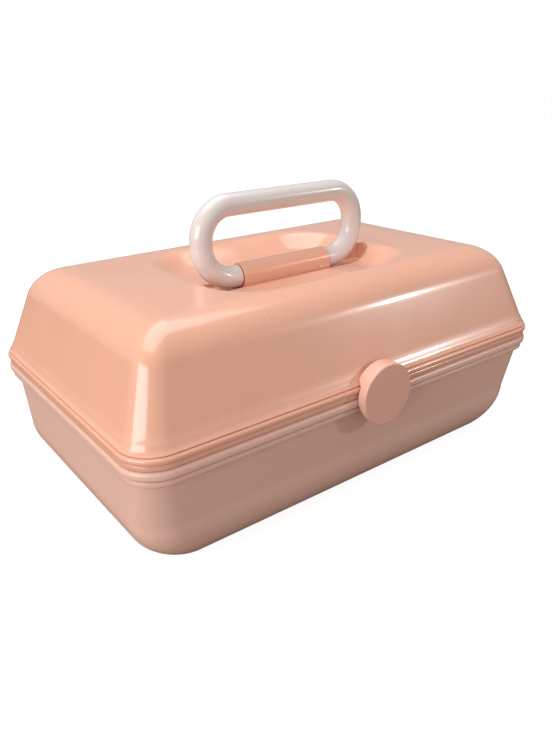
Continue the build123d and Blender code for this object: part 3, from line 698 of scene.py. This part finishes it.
def handle_surface():
    """A tube and its stub ends: centre + radius * (cos b * across + sin b * Y) round its line."""
    x, z, turn, radius = handle_path()
    end = x[0]
    stub = end - STUB_LENGTH
    stub_x = np.array([stub, stub + STUB_EDGE, end])
    x = np.concatenate([stub_x, x, -stub_x[::-1]])
    z = np.concatenate([np.full(3, PIVOT_Z), z, np.full(3, PIVOT_Z)])
    turn = np.concatenate([np.zeros(3), turn, np.full(3, 2 * pi)])
    stub_radius = np.array([STUB_RADIUS - STUB_EDGE, STUB_RADIUS, STUB_RADIUS])
    radius = np.concatenate([stub_radius, radius, stub_radius[::-1]])
    around = np.linspace(0, 2 * pi, 48, endpoint=False)
    across = np.stack([-np.sin(turn), np.cos(turn)], axis=1)
    ring_x = x[:, None] + radius[:, None] * np.cos(around) * across[:, :1]
    ring_z = z[:, None] + radius[:, None] * np.cos(around) * across[:, 1:]
    ring_y = PIVOT_Y - radius[:, None] * np.sin(around) * np.ones((len(x), 1))
    return np.stack([ring_x, ring_y, ring_z], axis=-1)[:, ::-1]


# ---------------------------------------------------------------- latch
def latch_surface():
    """A round cup facing forwards: face, rounded edge, wall back to its shaped edge, inside, plate."""
    around = np.linspace(0, 2 * pi, LATCH_POINTS, endpoint=False)
    edge = np.radians(np.linspace(90, 0, 8))
    rim = LATCH_RADIUS - LATCH_EDGE
    inner = LATCH_RADIUS - LATCH_WALL
    plate = LATCH_FACE + LATCH_PLATE
    back = np.interp(PARTING + LATCH_RADIUS * np.sin(around), LATCH_BACK_LEVELS, LATCH_BACK)
    trimmed = np.maximum(back - LATCH_WALL_EDGE, plate)
    back = np.maximum(back, plate)
    rows = [(radius, LATCH_FACE) for radius in (*LATCH_FACE_RINGS, rim - 0.6)]
    rows += [(rim + LATCH_EDGE * cos(a), LATCH_FACE + LATCH_EDGE * (1 - sin(a))) for a in edge]
    rows += [(LATCH_RADIUS, trimmed), (LATCH_RADIUS - LATCH_WALL_EDGE, back)]
    rows += [(inner + LATCH_WALL_EDGE, back), (inner, trimmed)]
    rows += [(radius, plate) for radius in (inner, inner - 1, LATCH_FACE_RINGS[0])]
    stack = []
    for radius, y in rows:
        x, z = radius * np.cos(around), PARTING + radius * np.sin(around)
        stack.append(np.column_stack([x, np.broadcast_to(y, around.shape), z]))
    return np.stack(stack)[:, ::-1]


# ---------------------------------------------------------------- settings
def colour_setting(name, description, default):
    """One colour of the case."""
    return bpy.props.FloatVectorProperty(
        name=name, description=description, subtype="COLOR", size=4, default=default, min=0.0, max=1.0
    )


def power_setting(name, description, default):
    """The power of one lamp."""
    return bpy.props.FloatProperty(
        name=name, description=description, default=default, min=0.0, unit="POWER"
    )


class CaseLooks(bpy.types.PropertyGroup):
    """Colours and gloss of the case, and the strength of its lights."""

    peach: colour_setting("Case colour", "Colour of the lid and the tub", (0.87, 0.45, 0.31, 1.0))
    latch: colour_setting("Latch colour", "Colour of the round latch", (0.86, 0.48, 0.37, 1.0))
    white: colour_setting("Handle colour", "Colour of the folding handle", (0.78, 0.70, 0.67, 1.0))
    cream: colour_setting(
        "Tray colour", "Colour of the trays, their arms and the mirror's bezel", (0.78, 0.70, 0.64, 1.0)
    )
    steel: colour_setting("Steel colour", "Colour of the pins and rivets", (0.60, 0.60, 0.62, 1.0))
    gloss: bpy.props.FloatProperty(
        name="Case roughness",
        description="Roughness of the lid and the tub, lower being glossier",
        default=0.24,
        min=0.02,
        max=1.0,
        subtype="FACTOR",
    )
    key_light: power_setting("Key light", "Power of the large light on the left", 18.0)
    top_light: power_setting("Top light", "Power of the large light overhead", 17.0)
    front_light: power_setting("Front light", "Power of the small light in front", 5.2)


def looks():
    """The settings of the scene that is being built."""
    return bpy.context.scene.case_looks


# ---------------------------------------------------------------- operators
class CASE_OT_lid(bpy.types.Operator):
    """Builds the lid with its sleeve, hinge knuckles, latch lugs, posts and link bosses"""

    bl_idname = "case.lid"
    bl_label = "Lid"

    def execute(self, context):
        plastic = case_plastic(looks().peach, looks().gloss)
        skin = loop_mesh("lid_skin", lid_surface())
        new_piece("lid_skin", skin, plastic, "lid", "case_plastic", "lid_shell")
        bars = {"handle_sleeve": (sleeve_outline(), -SLEEVE_HALF, SLEEVE_HALF)}
        half = CENTRE_KNUCKLE / 2
        knuckle = circle((HINGE_Y, PARTING), HINGE_RADIUS)
        web = box_outline(HALF_DEPTH - WEB_ROOT, HINGE_Y, PARTING + HALF_GAP, PARTING + HINGE_WEB)
        for number, station in enumerate(HINGE_STATIONS):
            bars[f"lid_knuckle_{number}"] = (knuckle, station - half, station + half)
            bars[f"lid_knuckle_web_{number}"] = (web, station - half, station + half)
        radius, near, far = LATCH_LUG
        wall_y = -HALF_DEPTH + LID_STEP + WALL_LAP
        arm = box_outline(LATCH_PIVOT[0], wall_y, LATCH_PIVOT[1] - radius, LATCH_PIVOT[1])
        for name, start, end in (("left", -far, -near), ("right", near, far)):
            bars["latch_lug_" + name] = (circle(LATCH_PIVOT, radius), start, end)
            bars["latch_lug_arm_" + name] = (arm, start, end)
        low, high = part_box("lid_link_rivets")
        pin = ((low.y + high.y) / 2 / MM, (low.z + high.z) / 2 / MM)
        boss = circle(pin, PIN_BOSS)
        link_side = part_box("lid_link_right")[1].x / MM + BOSS_GAP
        reach = lid_end(boss) - WALL / 2
        for name, start, end in (("left", -reach, -link_side), ("right", link_side, reach)):
            bars["link_boss_" + name] = (boss, start, end)
        for name, (outline, start, end) in bars.items():
            new_piece(name, along_x(name, outline, start, end), plastic, "lid", "case_plastic")
        bezel_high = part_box("mirror_bezel")[1]
        post_x = bezel_high.x / MM - POST_INSET
        post_y = bezel_high.y / MM - POST_INSET
        flat = circle((0.0, 0.0), POST_RADIUS, POST_POINTS)
        levels = (bezel_high.z / MM, TOP - WALL - POST_HEAD_GAP)
        for number, (x, y) in enumerate(((-1, -1), (1, -1), (-1, 1), (1, 1))):
            name = f"mirror_post_{number}"
            post = flat + (x * post_x, y * post_y)
            stack = np.stack([np.column_stack([post, np.full(POST_POINTS, z)]) for z in levels])
            new_piece(name, loop_mesh(name, stack), plastic, "lid", "case_plastic")
        return {"FINISHED"}


class CASE_OT_tub(bpy.types.Operator):
    """Builds the tub with its rim, lip, hinge knuckles and arm bosses"""

    bl_idname = "case.tub"
    bl_label = "Tub"

    def execute(self, context):
        made = bpy.data.materials.get("case_plastic")
        plastic = made or case_plastic(looks().peach, looks().gloss)
        skin = loop_mesh("tub_skin", tub_surface())
        new_piece("tub_skin", skin, plastic, "base", "case_plastic", "base_tub")
        bars = {}
        knuckle = circle((HINGE_Y, PARTING), HINGE_RADIUS)
        web = box_outline(HALF_DEPTH - WEB_ROOT, HINGE_Y, PARTING - HINGE_WEB, PARTING - HALF_GAP)
        start = CENTRE_KNUCKLE / 2 + KNUCKLE_GAP
        end = start + OUTER_KNUCKLE
        for number, station in enumerate(HINGE_STATIONS):
            for name, low, high in (("left", -end, -start), ("right", start, end)):
                span = (station + low, station + high)
                bars[f"tub_knuckle_{number}_{name}"] = (knuckle, *span)
                bars[f"tub_knuckle_web_{number}_{name}"] = (web, *span)
        for side, hand in ((-1, "left"), (1, "right")):
            for name in ("front_arm_", "back_arm_"):
                boss = circle(JOINT_PLACES[name + "pivot"], PIN_BOSS)
                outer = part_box(name + "right")[1].x / MM + BOSS_GAP
                ends = sorted((side * outer, side * (HALF_LENGTH - BASE_STEP - WALL_LAP)))
                bars[name + "boss_" + hand] = (boss, *ends)
        for name, (outline, low, high) in bars.items():
            new_piece(name, along_x(name, outline, low, high), plastic, "base", "case_plastic")
        return {"FINISHED"}


class CASE_OT_handle(bpy.types.Operator):
    """Builds the folding tube handle"""

    bl_idname = "case.handle"
    bl_label = "Handle"

    def execute(self, context):
        plastic = handle_plastic(looks().white)
        mesh = loop_mesh("handle_loop", handle_surface())
        new_piece("handle_loop", mesh, plastic, "handle", "handle_plastic", "handle")
        return {"FINISHED"}


class CASE_OT_latch(bpy.types.Operator):
    """Builds the round latch with its barrel and hook"""

    bl_idname = "case.latch"
    bl_label = "Latch"

    def execute(self, context):
        plastic = satin_plastic("latch_plastic", looks().latch, 0.34)
        cup = loop_mesh("latch_cup", latch_surface())
        new_piece("latch_cup", cup, plastic, "latch", "latch_plastic", "latch_disc")
        plate = LATCH_FACE + LATCH_PLATE - LATCH_LAP
        radius, half = LATCH_BARREL
        pivot_y, pivot_z = LATCH_PIVOT
        web = box_outline(plate, pivot_y, pivot_z - radius, pivot_z + radius)
        hook = box_outline(plate, HOOK_BACK, HOOK_Z - HOOK_RISE, HOOK_Z + HOOK_RISE)
        pieces = {
            "latch_barrel": (circle(LATCH_PIVOT, radius), half),
            "latch_web": (web, half),
            "latch_hook": (hook, HOOK_HALF),
        }
        for name, (outline, reach) in pieces.items():
            new_piece(name, along_x(name, outline, -reach, reach), plastic, "latch", "latch_plastic")
        return {"FINISHED"}


class CASE_OT_inside(bpy.types.Operator):
    """Finishes the trays, their dividers, the arms, the mirror, the pins and the rivets"""

    bl_idname = "case.inside"
    bl_label = "Inside"

    def execute(self, context):
        made = {
            "tray_plastic": satin_plastic("tray_plastic", looks().cream, 0.28),
            "arm_plastic": satin_plastic("arm_plastic", shade(looks().cream, 0.94), 0.5),
            "steel": drawn_steel(looks().steel),
            "mirror_glass": mirror_silver((0.86, 0.88, 0.89, 1.0)),
        }
        slots = {row["node"]: row["material_slot"] for row in frame["record"]["subparts"]}
        for body, nodes in frame["record"]["behaviour"]["bodies"].items():
            for node in nodes:
                slot = slots[node]
                if slot in made:
                    new_piece(node + "_finished", merged(node), made[slot], body, slot, node)
        return {"FINISHED"}


class CASE_OT_stage(bpy.types.Operator):
    """Sets the pale floor, the soft lights, the white surroundings and the camera"""

    bl_idname = "case.stage"
    bl_label = "Stage"

    def execute(self, context):
        scene = context.scene
        floor_mesh = bpy.data.meshes.new("floor")
        signs = ((-1, -1), (1, -1), (1, 1), (-1, 1))
        corners = [(x * FLOOR_REACH, y * FLOOR_REACH, 0.0) for x, y in signs]
        floor_mesh.from_pydata(corners, [], [(0, 1, 2, 3)])
        floor = bpy.data.objects.new("floor", floor_mesh)
        scene.collection.objects.link(floor)
        floor_mesh.materials.append(floor_paper())
        surround(scene)
        lamp("key", (-1.7, -0.35, 0.55), (1.3, 0.8), looks().key_light)
        lamp("overhead", (-0.1, 0.25, 1.5), (1.8, 1.2), looks().top_light)
        lamp("front", (1.35, -1.3, 0.62), (0.16, 0.16), looks().front_light, 0.25)
        photo_camera(scene)
        scene.view_settings.view_transform = "Standard"
        return {"FINISHED"}


def floor_paper():
    """Paper that shows white and part of the case's shadow, and throws little light back."""
    paint = Paint("floor_paper", Roughness=0.9)
    seen = paint.node("ShaderNodeLightPath", {}, {}, out="Is Camera Ray")
    paint.feed(paint.shader.inputs["Base Color"], paint.mix(seen, FLOOR_THROWN, FLOOR_SEEN))
    glow = paint.node("ShaderNodeEmission", {}, {"Color": WHITE, "Strength": FLOOR_GLOW})
    paper = Wire(paint, paint.shader.outputs[0])
    both = paint.node("ShaderNodeMixShader", {}, {0: seen * FLOOR_GLOW_SHARE, 1: paper, 2: glow})
    paint.tree.links.new(both.socket, paint.tree.nodes["Material Output"].inputs["Surface"])
    return paint.material


def surround(scene):
    """Surroundings that look white to the camera and give the case a dimmer, even light."""
    world = bpy.data.worlds.new("surroundings")
    scene.world = world
    world.use_nodes = True
    sky = Nodes(world.node_tree)
    background = sky.tree.nodes["Background"]
    background.inputs["Color"].default_value = WHITE
    seen = sky.node("ShaderNodeLightPath", {}, {}, out="Is Camera Ray")
    sky.feed(background.inputs["Strength"], seen * (1 - SKY_LIGHT) + SKY_LIGHT)


def lamp(name, place, size, power, shine=1.0):
    """A soft rectangular lamp that faces the case, with the share of it that shows in reflections."""
    data = bpy.data.lights.new(name, "AREA")
    data.shape = "RECTANGLE"
    data.size, data.size_y = size
    data.energy = power
    data.specular_factor = shine
    lamp_object = bpy.data.objects.new(name, data)
    lamp_object.location = place
    aim = Vector(LAMP_TARGET) - Vector(place)
    lamp_object.rotation_mode = "QUATERNION"
    lamp_object.rotation_quaternion = aim.to_track_quat("-Z", "Y")
    bpy.context.scene.collection.objects.link(lamp_object)


def photo_camera(scene):
    """The camera at the photograph's viewpoint: its turn, its look down, its lean and its lens."""
    turn, down, lean = CAMERA_TURN, CAMERA_DOWN, CAMERA_LEAN
    ahead = Vector((sin(turn) * cos(down), cos(turn) * cos(down), -sin(down)))
    level = Vector((cos(turn), -sin(turn), 0.0))
    above = level.cross(ahead)
    right = level * cos(lean) + above * sin(lean)
    upright = above * cos(lean) - level * sin(lean)
    data = bpy.data.cameras.new("photo_camera")
    data.sensor_width = CAMERA_SENSOR
    data.lens = CAMERA_LENS
    data.clip_start = 0.01
    camera = bpy.data.objects.new("photo_camera", data)
    matrix = Matrix((right, upright, -ahead)).transposed().to_4x4()
    matrix.translation = Vector(CAMERA_PLACE) * MM
    camera.matrix_world = matrix
    scene.collection.objects.link(camera)
    scene.camera = camera


class CASE_PT_panel(bpy.types.Panel):
    """Lists the case's looks and the steps that build it"""

    bl_idname = "CASE_PT_panel"
    bl_label = "Makeup case"
    bl_space_type = "VIEW_3D"
    bl_region_type = "UI"
    bl_category = "Case"

    def draw(self, context):
        for setting in SETTINGS:
            self.layout.prop(context.scene.case_looks, setting)
        for step in STEPS:
            self.layout.operator("case." + step)


COLOURS = ("peach", "latch", "white", "cream", "steel")
SETTINGS = COLOURS + ("gloss", "key_light", "top_light", "front_light")
STEPS = ("lid", "tub", "handle", "latch", "inside", "stage")
CLASSES = (
    CaseLooks,
    CASE_OT_lid,
    CASE_OT_tub,
    CASE_OT_handle,
    CASE_OT_latch,
    CASE_OT_inside,
    CASE_OT_stage,
    CASE_PT_panel,
)


def register():
    for part in CLASSES:
        bpy.utils.register_class(part)
    bpy.types.Scene.case_looks = bpy.props.PointerProperty(type=CaseLooks)


def unregister():
    del bpy.types.Scene.case_looks
    for part in reversed(CLASSES):
        bpy.utils.unregister_class(part)


def main():
    register()
    for step in STEPS:
        getattr(bpy.ops.case, step)()


if __name__ == "__main__":
    main()
